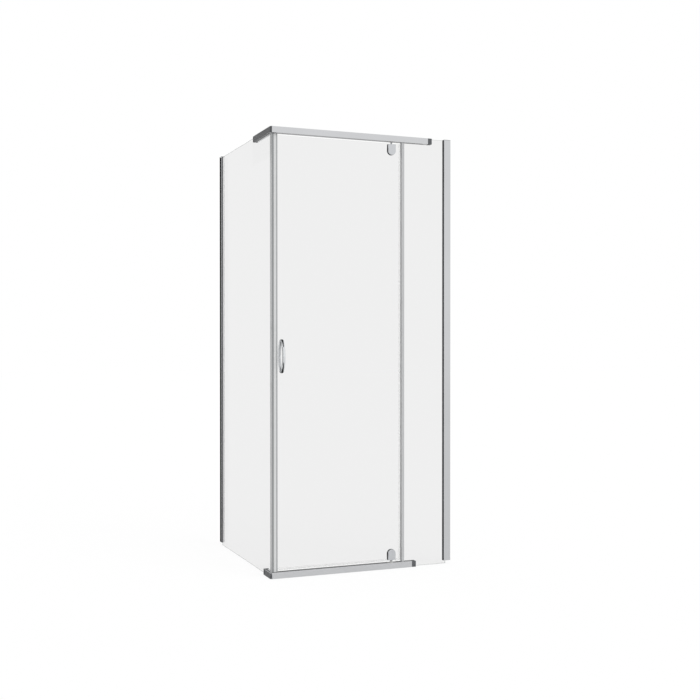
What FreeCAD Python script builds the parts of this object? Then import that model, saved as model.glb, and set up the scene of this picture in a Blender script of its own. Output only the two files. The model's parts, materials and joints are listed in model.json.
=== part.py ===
import FreeCAD, Part
import math
import os

# Square corner shower screen with one outward pivot door, in millimetres, +Z up.
# The centre planes of the front glass (y = 0) and of the side glass (x = 0) cross on the
# origin, at floor level. +X runs along the front to the right wall, +Y along the side pane
# to the back wall. Front pieces of the sill are drawn first: their twins on the side and on
# the header are the same pieces turned over.

# Whole screen
screen_height = 2000.0
front_reach = 877.0
side_reach = 853.0
glass = 6.0
glass_arris = 0.6
pane_floor_gap = 3.0
pane_top_gap = 3.0
fit_gap = 0.1
overrun = 2.0

# Sill and header, one extrusion: a glazing slot between two hollow chambers
rail_width = 28.0
rail_height = 28.0
rail_wall = 1.6
rail_base = 2.0
rail_slot = 10.0
rail_edge = 1.2
corner_cut = 8.0
sill_wall_gap = 147.5
sill_side_run = 71.0
header_wall_gap = 66.0
header_side_run = 231.0

# End caps of the rails
cap_length = 20.5
cap_spigot = 12.0
cap_glass_gap = 0.3
cap_edge = 1.5
cap_inset = 0.3

# Corner keys in the chambers, and the pan-head screws that hold keys and pivot blocks
key_leg = 46.0
key_inset = 0.4
key_screw_place = 33.0
screw_shank = 3.9
screw_head = 7.0
screw_head_height = 2.2
screw_hole = 4.3
screw_tip_gap = 0.4
drive_span = 3.8
drive_width = 0.9
drive_depth = 1.2
thread_gap = 0.05

# Snap-in strips that close the slot where no pane stands in it
infill_plate = 1.5
infill_leg = 1.2
infill_leg_depth = 7.0

# Wall channels, alike on both walls
channel_width = 21.3
channel_depth = 33.5
channel_wall = 1.8
channel_web = 2.0
channel_edge = 0.8
channel_floor_gap = 17.0
channel_bite = 10.5
channel_hole = 5.0
channel_hole_count = 4
channel_hole_margin = 136.0
channel_cap = 1.5
channel_plug = 8.0
channel_plug_gap = 2.0

# Glazing strips and setting blocks
gasket_recess = 0.8
gasket_depth = 8.5
channel_gasket_proud = 1.2
pad_length = 30.0
pad_end_gap = 8.0
block_length = 40.0
block_width = 10.0
block_wall_gap = 60.0

# Fixed panes
side_pane_front = 5.0
inline_pane_width = 226.0

# Closing strip on the side pane and jamb strip on the inline pane
strip_end_gap = 0.4
strip_wall = 1.2
strip_edge = 0.5
strike_front = -6.0
strike_back = 22.5
stop_lip = 7.0
stop_gap = 0.5
jamb_nose = 2.7
jamb_grip = 8.8
jamb_width = 21.5

# Door leaf
door_left = 16.0
door_gap = 8.0
tail_gap = 0.6

# Door seals
magnet_air_gap = 0.4
head_leg = 6.0
head_end_gap = 1.5
edge_seal_leg = 6.0
edge_seal_nose = 5.0
edge_seal_round = 2.6
drip_wall = 1.0
drip_leg = 9.0
drip_fin = 1.2
drip_floor_gap = 1.3
drip_side_gap = 1.0

# Pivots
pivot_inset = 42.8
pin = 8.0
pin_reach = 17.0
pin_gap = 0.05
pin_end_gap = 2.0
pivot_block_length = 44.0
pivot_flange = 16.0
pivot_flange_height = 2.0
pivot_screw_place = 14.0
thrust_washer = 14.0
thrust_washer_height = 1.5
thrust_gap = 0.1
shoulder = 12.0
plate_width = 37.0
plate_height = 49.0
plate_inset = 3.5
plate_thickness = 5.5
plate_corner = 1.5
plate_edge = 0.8
plate_pad = 1.0
pad_proud = 0.7
notch_width = 18.0
notch_depth = 36.0
notch_gap = 0.4
notch_round_share = 1 / 3
clamp_screw = 5.0
clamp_head = 9.6
clamp_head_height = 2.4
clamp_hole = 5.4
clamp_first = 11.0
clamp_pitch = 15.0
clamp_cover = 1.6
clamp_key = 3.0
clamp_key_depth = 1.8

# Bow handles, one each side of the door
handle_place = 42.4
handle_height = 985.0
handle_centres = 136.0
handle_bar = 14.0
handle_stand = 32.0
handle_foot = 15.0
handle_foot_length = 6.0
handle_foot_edge = 1.0
handle_washer = 18.5
handle_washer_height = 1.0
handle_hole = 12.0
handle_sleeve_gap = 0.2
handle_stud = 6.0
handle_stud_depth = 5.0
grub = 3.0
grub_length = 2.4
grub_key = 1.5
grub_key_depth = 1.0

# Sizes that follow from the ones above
rail_half = rail_width / 2
slot_half = rail_slot / 2
glass_half = glass / 2
pane_bottom = pane_floor_gap
pane_top = screen_height - pane_top_gap
front_mouth = front_reach - channel_depth
sill_front_run = front_mouth - sill_wall_gap - cap_length
header_front_run = front_mouth - header_wall_gap - cap_length
inline_pane_right = front_mouth + channel_bite
inline_pane_left = inline_pane_right - inline_pane_width
jamb_left = inline_pane_left - jamb_nose
jamb_right = inline_pane_left + jamb_grip
door_right = jamb_left - tail_gap - edge_seal_nose - strip_wall
pivot_place = door_right - pivot_inset
side_pane_back = side_reach - channel_depth + channel_bite
door_bottom = rail_height + door_gap
door_top = screen_height - rail_height - door_gap
plate_low = door_bottom + plate_inset
chamber_inner = slot_half + rail_wall
chamber_outer = rail_half - rail_wall
clamp_inner = glass_half + plate_pad
clamp_outer = clamp_inner + plate_thickness
handle_seat = glass_half + handle_washer_height
strip_half = glass_half + strip_wall
head_left = strip_half + magnet_air_gap

right = FreeCAD.Vector(1, 0, 0)
back = FreeCAD.Vector(0, 1, 0)
up = FreeCAD.Vector(0, 0, 1)
mitre_normal = FreeCAD.Vector(1, -1, 0)


def at(x, y, z):
    return FreeCAD.Vector(x, y, z)


def box(x, y, z):
    """A block between the two limits given for each axis."""
    return Part.makeBox(x[1] - x[0], y[1] - y[0], z[1] - z[0], at(x[0], y[0], z[0]))


def both_sides(low, high):
    """The limits of a band and of its twin across the centre plane."""
    return [(low, high), (-high, -low)]


def rod(diameter, start, end):
    """A round bar from one point to another."""
    return Part.makeCylinder(diameter / 2, (end - start).Length, start, end - start)


def rounded_wire(corners):
    """A closed wire through (point, radius) corners, with an arc where the radius isn't zero."""
    tangents = []
    for i, (point, radius) in enumerate(corners):
        behind = (corners[i - 1][0] - point).normalize()
        ahead = (corners[(i + 1) % len(corners)][0] - point).normalize()
        half_angle = behind.getAngle(ahead) / 2
        setback = radius / math.tan(half_angle)
        middle = (behind + ahead).normalize() * (radius / math.sin(half_angle) - radius)
        tangents.append((point + behind * setback, point + middle, point + ahead * setback))
    edges = []
    for i, (start, middle, end) in enumerate(tangents):
        if corners[i][1]:
            edges.append(Part.Arc(start, middle, end).toShape())
        following = tangents[(i + 1) % len(tangents)][0]
        edges.append(Part.LineSegment(end, following).toShape())
    return Part.Wire(edges)


def prism(corners, run):
    """The solid that a rounded outline sweeps along a straight run."""
    return Part.Face(rounded_wire(corners)).extrude(run)


def rectangle(x, y, z, radius):
    """Corners of a level rectangle at a height, all rounded alike."""
    spots = [(x[0], y[0]), (x[1], y[0]), (x[1], y[1]), (x[0], y[1])]
    return [(at(px, py, z), radius) for px, py in spots]


def upright(x, y, z, radius):
    """A standing bar of rectangular plan with rounded upright edges."""
    return prism(rectangle(x, y, z[0], radius), up * (z[1] - z[0]))


def on_side(shape):
    """The same piece turned over the corner's mitre plane, from the front to the side."""
    return shape.mirror(at(0, 0, 0), mitre_normal)


def on_header(shape):
    """The same piece turned over the middle height, from the sill to the header."""
    return shape.mirror(at(0, 0, screen_height / 2), up)


def inside(shape):
    """The same piece turned over the front glass, from the outer to the inner face."""
    return shape.mirror(at(0, 0, 0), back)


def group(shapes):
    return Part.makeCompound(shapes)


def all_corners(shape):
    """A sill piece of the front with its twins on the side and on the header."""
    pair = [shape, on_side(shape)]
    return pair + [on_header(one) for one in pair]


def set_along(shape, seat, out):
    """Moves a shape drawn along +Z on to a seat, pointing out."""
    shape.Placement = FreeCAD.Placement(seat, FreeCAD.Rotation(up, out))
    return shape


def pan_screw(seat, out, reach):
    """A pan-head screw with a cross drive, its head on the seat and its shank below it."""
    body = rod(screw_shank, at(0, 0, -reach), at(0, 0, 0))
    body = body.fuse(rod(screw_head, at(0, 0, 0), at(0, 0, screw_head_height)))
    blade = (-drive_span / 2, drive_span / 2)
    width = (-drive_width / 2, drive_width / 2)
    depth = (screw_head_height - drive_depth, screw_head_height + overrun)
    body = body.cut(box(blade, width, depth)).cut(box(width, blade, depth))
    return set_along(body, seat, out)


# Sill and header

def rail_end(length):
    return (-rail_half - overrun, length + overrun)


def rail(length):
    """Extruded rail with slot and chambers, mitred, cut back at the corner, drilled for its key."""
    outline = [
        (-rail_half, 0, rail_edge),
        (rail_half, 0, rail_edge),
        (rail_half, rail_height, rail_edge),
        (slot_half, rail_height, 0),
        (slot_half, rail_base, 0),
        (-slot_half, rail_base, 0),
        (-slot_half, rail_height, 0),
        (-rail_half, rail_height, rail_edge),
    ]
    corners = [(at(-rail_half, y, z), radius) for y, z, radius in outline]
    body = prism(corners, right * (length + rail_half))
    for y in both_sides(chamber_inner, chamber_outer):
        body = body.cut(box(rail_end(length), y, (rail_wall, rail_height - rail_wall)))
    far = rail_half + overrun
    wedge = [(at(x, y, -overrun), 0) for x, y in [(-far, -far), (far, far), (-far, far)]]
    body = body.cut(prism(wedge, up * (rail_height + 2 * overrun))).cut(corner_wedge(corner_cut))
    hole_y = (chamber_outer - overrun, rail_half + overrun)
    return body.cut(cross_hole(key_screw_place, hole_y))


def corner_wedge(cut):
    """What the outer corner loses when it is cut back by this much along each rail."""
    near = -rail_half - overrun
    far = overrun - rail_half + cut
    corners = [(at(x, y, -overrun), 0) for x, y in [(near, near), (far, near), (near, far)]]
    return prism(corners, up * (rail_height + 2 * overrun))


def cross_hole(x, y):
    """A screw hole across the rail at half its height."""
    return rod(screw_hole, at(x, y[0], rail_height / 2), at(x, y[1], rail_height / 2))


def pivot_screw_spots():
    return [pivot_place - pivot_screw_place, pivot_place + pivot_screw_place]


def front_rail(length):
    """A rail of the front, also drilled for the screws of its pivot block."""
    body = rail(length)
    for x in pivot_screw_spots():
        body = body.cut(cross_hole(x, (0, rail_half + overrun)))
    return body


def end_cap(length):
    """Moulded cap on a rail's end, slotted for the pane, with a spigot in each chamber."""
    side = (-rail_half + cap_inset, rail_half - cap_inset)
    height = (cap_inset, rail_height - cap_inset)
    spots = [(side[0], height[0]), (side[1], height[0]), (side[1], height[1]), (side[0], height[1])]
    body = prism([(at(length, y, z), cap_edge) for y, z in spots], right * cap_length)
    slot = glass_half + cap_glass_gap
    depth = (rail_base, rail_height + overrun)
    body = body.cut(box((length - overrun, length + cap_length + overrun), (-slot, slot), depth))
    for y in both_sides(chamber_inner + fit_gap, chamber_outer - fit_gap):
        z = (rail_wall + fit_gap, rail_height - rail_wall - fit_gap)
        body = body.fuse(box((length - cap_spigot, length), y, z))
    return body.removeSplitter()


def corner_key(near, far):
    """An L-shaped key in the chambers of two mitred rails, between two distances from the planes."""
    z = (rail_wall + fit_gap, rail_height - rail_wall - fit_gap)
    along = box((near, key_leg), (near, far), z)
    return along.fuse(on_side(along)).removeSplitter()


def corner_keys():
    """The sill's outer key, which shows in the cut-back corner, and its drilled inner key."""
    outer = corner_key(-chamber_outer + fit_gap, -chamber_inner - fit_gap)
    outer = outer.cut(corner_wedge(corner_cut + key_inset))
    inner = corner_key(chamber_inner + fit_gap, chamber_outer - fit_gap)
    y = (chamber_inner - overrun, rail_half)
    tap = rod(
        screw_shank + 2 * thread_gap,
        at(key_screw_place, y[0], rail_height / 2),
        at(key_screw_place, y[1], rail_height / 2),
    )
    return [outer, inner.cut(tap).cut(on_side(tap))]


def key_screw():
    reach = rail_half - chamber_inner - screw_tip_gap
    return pan_screw(at(key_screw_place, rail_half, rail_height / 2), back, reach)


def infill(start, end):
    """A snap-in strip that closes the slot between two places on the front."""
    side = slot_half - fit_gap
    body = box((start, end), (-side, side), (rail_height - infill_plate, rail_height))
    for y in both_sides(side - infill_leg, side):
        z = (rail_height - infill_plate - infill_leg_depth, rail_height - infill_plate)
        body = body.fuse(box((start, end), y, z))
    return body.removeSplitter()


def infills():
    """The sill's strips, on the door side and on the tail side of the pivot."""
    block = pivot_block_length / 2 + fit_gap
    return [
        infill(-slot_half + fit_gap, pivot_place - block),
        infill(pivot_place + block, inline_pane_left - fit_gap),
    ]


def rail_gaskets(pane_edge, length):
    """The strips that wedge a pane in a front rail, from the pane's edge to the rail's end."""
    z = (rail_base, rail_height - gasket_recess)
    return [box((pane_edge, length), y, z) for y in both_sides(glass_half, slot_half)]


def setting_pad(pane_edge):
    """The pad in the sill's slot that carries a pane's lower edge."""
    start = pane_edge + pad_end_gap
    return box((start, start + pad_length), (-glass_half, glass_half), (rail_base, pane_bottom))


def setting_block(reach):
    """The block on the floor that carries a pane's lower edge near the wall."""
    end = reach - block_wall_gap
    side = block_width / 2
    return box((end - block_length, end), (-side, side), (0, pane_bottom))


# Wall channels

def channel_z():
    return (channel_floor_gap, screen_height - channel_cap)


def channel_hole_heights():
    low = channel_floor_gap + channel_hole_margin
    high = screen_height - channel_hole_margin
    step = (high - low) / (channel_hole_count - 1)
    return [low + i * step for i in range(channel_hole_count)]


def wall_channel(reach):
    """U channel on the right wall, its web drilled for the wall screws."""
    side = channel_width / 2
    mouth = reach - channel_depth
    inner = side - channel_wall
    z = channel_z()
    body = upright((mouth, reach), (-side, side), z, channel_edge)
    body = body.cut(
        box((mouth - overrun, reach - channel_web), (-inner, inner), (z[0] - overrun, z[1] + overrun))
    )
    for height in channel_hole_heights():
        start = at(reach - channel_web - overrun, 0, height)
        body = body.cut(rod(channel_hole, start, at(reach + overrun, 0, height)))
    return body


def channel_top_cap(reach):
    """Cap on a wall channel, with a plug in the void behind the pane."""
    side = channel_width / 2
    mouth = reach - channel_depth
    z = (screen_height - channel_cap, screen_height)
    body = upright((mouth, reach), (-side, side), z, channel_edge)
    inner = side - channel_wall - fit_gap
    start = mouth + channel_bite + channel_plug_gap
    plug_z = (screen_height - channel_cap - channel_plug, screen_height - channel_cap)
    plug = box((start, reach - channel_web - fit_gap), (-inner, inner), plug_z)
    return body.fuse(plug).removeSplitter()


def channel_gaskets(reach):
    """The two strips that hold a pane in its wall channel's mouth."""
    start = reach - channel_depth - channel_gasket_proud
    inner = channel_width / 2 - channel_wall
    z = (channel_floor_gap, pane_top)
    return [box((start, start + gasket_depth), y, z) for y in both_sides(glass_half, inner)]


# Panes and their strips

def arrised(pane):
    return pane.makeChamfer(glass_arris, pane.Edges)


def inline_pane():
    x = (inline_pane_left, inline_pane_right)
    return arrised(box(x, (-glass_half, glass_half), (pane_bottom, pane_top)))


def side_pane():
    y = (side_pane_front, side_pane_back)
    return arrised(box((-glass_half, glass_half), y, (pane_bottom, pane_top)))


def strip_z():
    return (rail_height + strip_end_gap, screen_height - rail_height - strip_end_gap)


def cut_through(body, x, y, z):
    """Takes a chamber right through a standing strip."""
    return body.cut(box(x, y, (z[0] - overrun, z[1] + overrun)))


def strike_strip():
    """Strip on the side pane's front edge: its magnet's chamber and the lip that stops the door."""
    z = strip_z()
    body = upright((-strip_half, strip_half), (strike_front, strike_back), z, strip_edge)
    lip = strip_half + stop_gap
    body = body.fuse(box((glass_half, strip_half + stop_lip), (lip, lip + strip_wall), z))
    grip = (-glass_half, glass_half)
    body = cut_through(body, grip, (side_pane_front, strike_back + overrun), z)
    return cut_through(body.removeSplitter(), grip, strike_chamber(), z)


def strike_chamber():
    return (strike_front + strip_wall, side_pane_front - strip_wall)


def strike_magnet():
    span = strike_chamber()
    side = glass_half - fit_gap
    return box((-side, side), (span[0] + fit_gap, span[1] - fit_gap), strip_z())


def jamb_strip():
    """Hollow strip on the inline pane's free edge, beside the door's tail."""
    side = jamb_width / 2
    z = strip_z()
    body = upright((jamb_left, jamb_right), (-side, side), z, strip_edge)
    body = cut_through(body, (inline_pane_left, jamb_right + overrun), (-glass_half, glass_half), z)
    x = (jamb_left + strip_wall, jamb_right - strip_wall)
    for y in both_sides(strip_half, side - strip_wall):
        body = cut_through(body, x, y, z)
    return body


# Door leaf and its seals

def notch(width, depth):
    """The U-shaped notch at the door's lower edge, as a tongue that fills it to a width and depth."""
    left = pivot_place - width / 2
    far = pivot_place + width / 2
    top = door_bottom + depth
    y = -clamp_outer
    corners = [
        (at(left, y, door_bottom), 0),
        (at(far, y, door_bottom), 0),
        (at(far, y, top), width * notch_round_share),
        (at(left, y, top), width * notch_round_share),
    ]
    return prism(corners, back * (2 * clamp_outer))


def handle_spots():
    return [handle_height - handle_centres / 2, handle_height + handle_centres / 2]


def door_leaf():
    """The door's glass, notched for its pivots and drilled for its handles."""
    y = (-glass_half, glass_half)
    leaf = arrised(box((door_left, door_right), y, (door_bottom, door_top)))
    pocket = notch(notch_width, notch_depth)
    leaf = leaf.cut(pocket).cut(on_header(pocket))
    for z in handle_spots():
        start = at(handle_place, -glass_half - overrun, z)
        leaf = leaf.cut(rod(handle_hole, start, at(handle_place, glass_half + overrun, z)))
    return leaf


def closing_chamber():
    return (head_left + strip_wall, door_left - strip_wall)


def closing_z():
    """The closing strip's ends, close to the sill and the header."""
    return (rail_height + head_end_gap, screen_height - rail_height - head_end_gap)


def closing_strip():
    """Strip on the door's leading edge: a hollow head beside the strike, and two legs on the glass."""
    z = closing_z()
    grip = (-glass_half, glass_half)
    end = door_left + head_leg
    body = upright((head_left, end), (-strip_half, strip_half), z, strip_edge)
    body = cut_through(body, (door_left, end + overrun), grip, z)
    return cut_through(body, closing_chamber(), grip, z)


def closing_magnet():
    span = closing_chamber()
    side = glass_half - fit_gap
    return box((span[0] + fit_gap, span[1] - fit_gap), (-side, side), closing_z())


def edge_seal():
    """Clear seal on the door's tail edge: two legs on the glass and a hollow nose."""
    z = (door_bottom, door_top)
    tip = door_right + strip_wall + edge_seal_nose
    corners = [
        (at(door_right - edge_seal_leg, -strip_half, z[0]), 0),
        (at(tip, -strip_half, z[0]), edge_seal_round),
        (at(tip, strip_half, z[0]), edge_seal_round),
        (at(door_right - edge_seal_leg, strip_half, z[0]), 0),
    ]
    body = prism(corners, up * (z[1] - z[0]))
    legs = (door_right - edge_seal_leg - overrun, door_right)
    body = cut_through(body, legs, (-glass_half, glass_half), z)
    hollow = strip_half - edge_seal_round
    return cut_through(body, (door_right + strip_wall, tip - strip_wall), (-hollow, hollow), z)


def drip_seal(start, end):
    """Clear seal on the door's lower edge: two legs on the glass and a fin down to the sill."""
    side = glass_half + drip_wall
    x = (start, end)
    body = box(x, (-side, side), (door_bottom - drip_wall, door_bottom))
    for y in both_sides(glass_half, side):
        body = body.fuse(box(x, y, (door_bottom, door_bottom + drip_leg)))
    fin_z = (rail_height + drip_floor_gap, door_bottom - drip_wall)
    return body.fuse(box(x, (side - drip_fin, side), fin_z)).removeSplitter()


def drip_seals():
    """The lower seal's two lengths, one each side of the pivot."""
    clear = plate_width / 2 + drip_side_gap
    return [
        drip_seal(door_left + head_leg + drip_side_gap, pivot_place - clear),
        drip_seal(pivot_place + clear, door_right - edge_seal_leg - drip_side_gap),
    ]


# Pivots

def pivot_block():
    """Bearing block in the sill's slot, with a flange on the rail and a blind bore for the pin."""
    x = (pivot_place - pivot_block_length / 2, pivot_place + pivot_block_length / 2)
    side = slot_half - fit_gap
    body = box(x, (-side, side), (rail_base, rail_height))
    top = rail_height + pivot_flange_height
    flange = rod(pivot_flange, at(pivot_place, 0, rail_height), at(pivot_place, 0, top))
    body = body.fuse(flange)
    bottom = shoulder_height() - pin_reach - pin_end_gap
    bore = rod(pin + 2 * pin_gap, at(pivot_place, 0, bottom), at(pivot_place, 0, top + overrun))
    body = body.cut(bore)
    for spot in pivot_screw_spots():
        end = at(spot, side + overrun, rail_height / 2)
        start = at(spot, -screw_tip_gap, rail_height / 2)
        body = body.cut(rod(screw_shank + 2 * thread_gap, start, end))
    return body


def pivot_block_screws():
    reach = rail_half
    seats = [at(x, rail_half, rail_height / 2) for x in pivot_screw_spots()]
    return [pan_screw(seat, back, reach) for seat in seats]


def washer_height():
    return rail_height + pivot_flange_height


def shoulder_height():
    """Height of the lower spindle's shoulder, just off the thrust washer."""
    return washer_height() + thrust_washer_height + thrust_gap


def thrust_ring():
    """The washer on the lower pivot block that carries the door."""
    low = at(pivot_place, 0, washer_height())
    high = at(pivot_place, 0, washer_height() + thrust_washer_height)
    return rod(thrust_washer, low, high).cut(rod(pin + 2 * pin_gap, low, high))


def spindle(neck):
    """Pivot pin with the tongue that fills the door's notch, and a neck between them."""
    tongue = notch(notch_width - 2 * notch_gap, notch_depth - notch_gap)
    x = (pivot_place - plate_width, pivot_place + plate_width)
    slab = box(x, (-clamp_inner, clamp_inner), (plate_low, plate_low + plate_height))
    body = tongue.common(slab)
    low = shoulder_height()
    body = body.fuse(rod(neck, at(pivot_place, 0, low), at(pivot_place, 0, plate_low)))
    body = body.fuse(rod(pin, at(pivot_place, 0, low - pin_reach), at(pivot_place, 0, low)))
    body = body.removeSplitter()
    for z in clamp_heights():
        start = at(pivot_place, -clamp_outer, z)
        body = body.cut(rod(clamp_hole, start, at(pivot_place, clamp_outer, z)))
    return body


def clamp_heights():
    return [plate_low + clamp_first, plate_low + clamp_first + clamp_pitch]


def plate_outline(proud, y):
    """A clamp plate's face, or one proud of it: square near the door's edge and round at the other end."""
    half = plate_width / 2 + proud
    low = plate_low
    top = low + plate_height + proud
    round_start = top - half
    left = pivot_place - half
    far = pivot_place + half
    edges = [
        Part.LineSegment(at(left, y, low), at(far, y, low)).toShape(),
        Part.LineSegment(at(far, y, low), at(far, y, round_start)).toShape(),
        Part.Arc(at(far, y, round_start), at(pivot_place, y, top), at(left, y, round_start)).toShape(),
        Part.LineSegment(at(left, y, round_start), at(left, y, low)).toShape(),
    ]
    return Part.Face(Part.Wire(edges))


def blank_plate():
    """The front clamp plate before drilling, with its show face's edges eased."""
    body = plate_outline(0, -clamp_outer).extrude(back * plate_thickness)
    upright_edges = [
        edge for edge in body.Edges
        if edge.BoundBox.XLength < fit_gap and edge.BoundBox.ZLength < fit_gap
        and edge.BoundBox.ZMax < plate_low + plate_edge
    ]
    body = body.makeFillet(plate_corner, upright_edges)
    show_edges = [edge for edge in body.Edges if edge.BoundBox.YMax < -clamp_outer + fit_gap]
    return body.makeFillet(plate_edge, show_edges)


def front_plate():
    """The outer clamp plate, with blind tapped holes in its back."""
    body = blank_plate()
    for z in clamp_heights():
        start = at(pivot_place, -clamp_outer + clamp_cover, z)
        end = at(pivot_place, -clamp_inner + overrun, z)
        body = body.cut(rod(clamp_screw + 2 * thread_gap, start, end))
    return body


def clamp_head_cone(seat_y, diameter, tip, height, z):
    """A countersink's cone at the rear plate's face, narrowing into the plate."""
    return Part.makeCone(diameter / 2, tip / 2, height, at(pivot_place, seat_y, z), -back)


def rear_plate():
    """The inner clamp plate, countersunk for the clamp screws."""
    body = inside(blank_plate())
    for z in clamp_heights():
        start = at(pivot_place, clamp_inner - overrun, z)
        body = body.cut(rod(clamp_hole, start, at(pivot_place, clamp_outer + overrun, z)))
        sink = clamp_head_cone(
            clamp_outer, clamp_head + 2 * fit_gap, clamp_screw + 2 * fit_gap, clamp_head_height, z
        )
        body = body.cut(sink)
    return body


def hexagon(across, point, run):
    """A six-sided socket across flats, along Y from a point."""
    reach = across / 2 / math.cos(math.pi / 6)
    corners = []
    for i in range(6):
        turn = math.pi / 3 * i
        spot = point + right * (reach * math.cos(turn)) + up * (reach * math.sin(turn))
        corners.append((spot, 0))
    return prism(corners, run)


def clamp_screws():
    """Countersunk socket screws from the rear plate through the spindle into the front plate."""
    screws = []
    for z in clamp_heights():
        tip = at(pivot_place, -clamp_outer + clamp_cover + screw_tip_gap, z)
        body = rod(clamp_screw, tip, at(pivot_place, clamp_outer, z))
        body = body.fuse(clamp_head_cone(clamp_outer, clamp_head, clamp_screw, clamp_head_height, z))
        socket = hexagon(clamp_key, at(pivot_place, clamp_outer, z), -back * clamp_key_depth)
        screws.append(body.removeSplitter().cut(socket))
    return screws


def clamp_pads():
    """Soft pads between plates and glass, a little proud of the plates, open where the spindle passes."""
    pad = plate_outline(pad_proud, -clamp_inner).extrude(back * plate_pad)
    pad = pad.cut(notch(notch_width, notch_depth))
    return [pad, inside(pad)]


# Handles

def bow_centre():
    """Radius of the bow's centre line, and its centre's distance from the glass plane."""
    base = handle_seat + handle_foot_length / 2
    rise = handle_stand - base
    half_chord = handle_centres / 2
    radius = (half_chord ** 2 + rise ** 2) / (2 * rise)
    return radius, handle_stand - radius


def bow():
    """The outer bow handle: a bent round bar on two feet, flat on its washers."""
    radius, centre = bow_centre()
    middle = at(handle_place, -centre, handle_height)
    swing = math.degrees(math.asin(handle_centres / 2 / radius))
    crown = at(handle_place, -handle_stand, handle_height)
    section = Part.Face(Part.Wire(Part.Circle(crown, up, handle_bar / 2).toShape()))
    body = section.revolve(middle, right, swing).fuse(section.revolve(middle, right, -swing))
    far = -handle_seat - handle_foot_length
    for z in handle_spots():
        foot = rod(handle_foot, at(handle_place, far, z), at(handle_place, -handle_seat, z))
        rim = [edge for edge in foot.Edges if edge.BoundBox.YMax < far + fit_gap]
        body = body.fuse(foot.makeFillet(handle_foot_edge, rim))
    reach = handle_centres
    trim = box(
        (handle_place - reach, handle_place + reach),
        (-handle_seat, handle_seat),
        (handle_height - reach, handle_height + reach),
    )
    body = body.removeSplitter().cut(trim)
    for z in handle_spots():
        start = at(handle_place, -handle_seat - handle_stud_depth, z)
        end = at(handle_place, -handle_seat + overrun, z)
        body = body.cut(rod(handle_stud + 2 * thread_gap, start, end))
    return body


def grub_end():
    """The grub screw's far end, just inside the foot's round side."""
    return handle_place + handle_stud / 2 + thread_gap + screw_tip_gap + grub_length


def grub_y():
    return handle_seat + handle_stud_depth / 2


def inner_bow():
    """The inner bow, drilled from the side for its grub screws."""
    body = inside(bow())
    for z in handle_spots():
        start = at(handle_place, grub_y(), z)
        end = at(handle_place + handle_foot, grub_y(), z)
        body = body.cut(rod(grub + 2 * thread_gap, start, end))
    return body


def grub_screws():
    """Socket grub screws that lock the inner bow on its studs."""
    screws = []
    for z in handle_spots():
        tip = at(grub_end() - grub_length, grub_y(), z)
        body = rod(grub, tip, at(grub_end(), grub_y(), z))
        key = rod(grub_key, at(grub_end() - grub_key_depth, grub_y(), z), at(grub_end(), grub_y(), z))
        screws.append(body.cut(key))
    return screws


def handle_studs():
    """Threaded studs through the glass, from one bow's foot to the other's."""
    reach = handle_seat + handle_stud_depth - screw_tip_gap
    return [
        rod(handle_stud, at(handle_place, -reach, z), at(handle_place, reach, z))
        for z in handle_spots()
    ]


def ring(outer, inner, start, end):
    return rod(outer, start, end).cut(rod(inner, start, end))


def handle_washers():
    """Soft washers between the feet and the glass, both sides."""
    washers = []
    for z in handle_spots():
        start = at(handle_place, -handle_seat, z)
        end = at(handle_place, -glass_half, z)
        washer = ring(handle_washer, handle_stud + 2 * handle_sleeve_gap, start, end)
        washers += [washer, inside(washer)]
    return washers


def handle_sleeves():
    """Sleeves that keep the studs off the glass."""
    outer = handle_hole - 2 * handle_sleeve_gap
    inner = handle_stud + 2 * handle_sleeve_gap
    return [
        ring(outer, inner, at(handle_place, -glass_half, z), at(handle_place, glass_half, z))
        for z in handle_spots()
    ]


def frame_pieces():
    """Every fixed piece by name."""
    keys = corner_keys()
    strips = infills()
    inline_sill = rail_gaskets(inline_pane_left, sill_front_run)
    side_sill = rail_gaskets(side_pane_front, sill_side_run)
    inline_header = rail_gaskets(inline_pane_left, header_front_run)
    side_header = rail_gaskets(side_pane_front, header_side_run)
    block_screws = pivot_block_screws()
    return {
        "sill_front": front_rail(sill_front_run),
        "sill_return": on_side(rail(sill_side_run)),
        "header_front": on_header(front_rail(header_front_run)),
        "header_return": on_header(on_side(rail(header_side_run))),
        "sill_front_cap": end_cap(sill_front_run),
        "sill_return_cap": on_side(end_cap(sill_side_run)),
        "header_front_cap": on_header(end_cap(header_front_run)),
        "header_return_cap": on_header(on_side(end_cap(header_side_run))),
        "sill_corner_keys": group(keys),
        "header_corner_keys": group([on_header(key) for key in keys]),
        "corner_key_screws": group(all_corners(key_screw())),
        "sill_infill_strips": group(strips),
        "header_infill_strips": group([on_header(strip) for strip in strips]),
        "sill_gaskets": group(inline_sill + [on_side(one) for one in side_sill]),
        "header_gaskets": group(
            [on_header(one) for one in inline_header]
            + [on_header(on_side(one)) for one in side_header]
        ),
        "setting_pads": group(
            [setting_pad(inline_pane_left), on_side(setting_pad(side_pane_front))]
        ),
        "setting_blocks": group([setting_block(front_reach), on_side(setting_block(side_reach))]),
        "front_wall_channel": wall_channel(front_reach),
        "side_wall_channel": on_side(wall_channel(side_reach)),
        "channel_top_caps": group(
            [channel_top_cap(front_reach), on_side(channel_top_cap(side_reach))]
        ),
        "front_channel_gaskets": group(channel_gaskets(front_reach)),
        "side_channel_gaskets": group([on_side(one) for one in channel_gaskets(side_reach)]),
        "inline_pane": inline_pane(),
        "side_pane": side_pane(),
        "strike_strip": strike_strip(),
        "strike_magnet": strike_magnet(),
        "jamb_strip": jamb_strip(),
        "lower_pivot_block": pivot_block(),
        "upper_pivot_block": on_header(pivot_block()),
        "pivot_block_screws": group(block_screws + [on_header(one) for one in block_screws]),
        "thrust_washer": thrust_ring(),
    }


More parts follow.
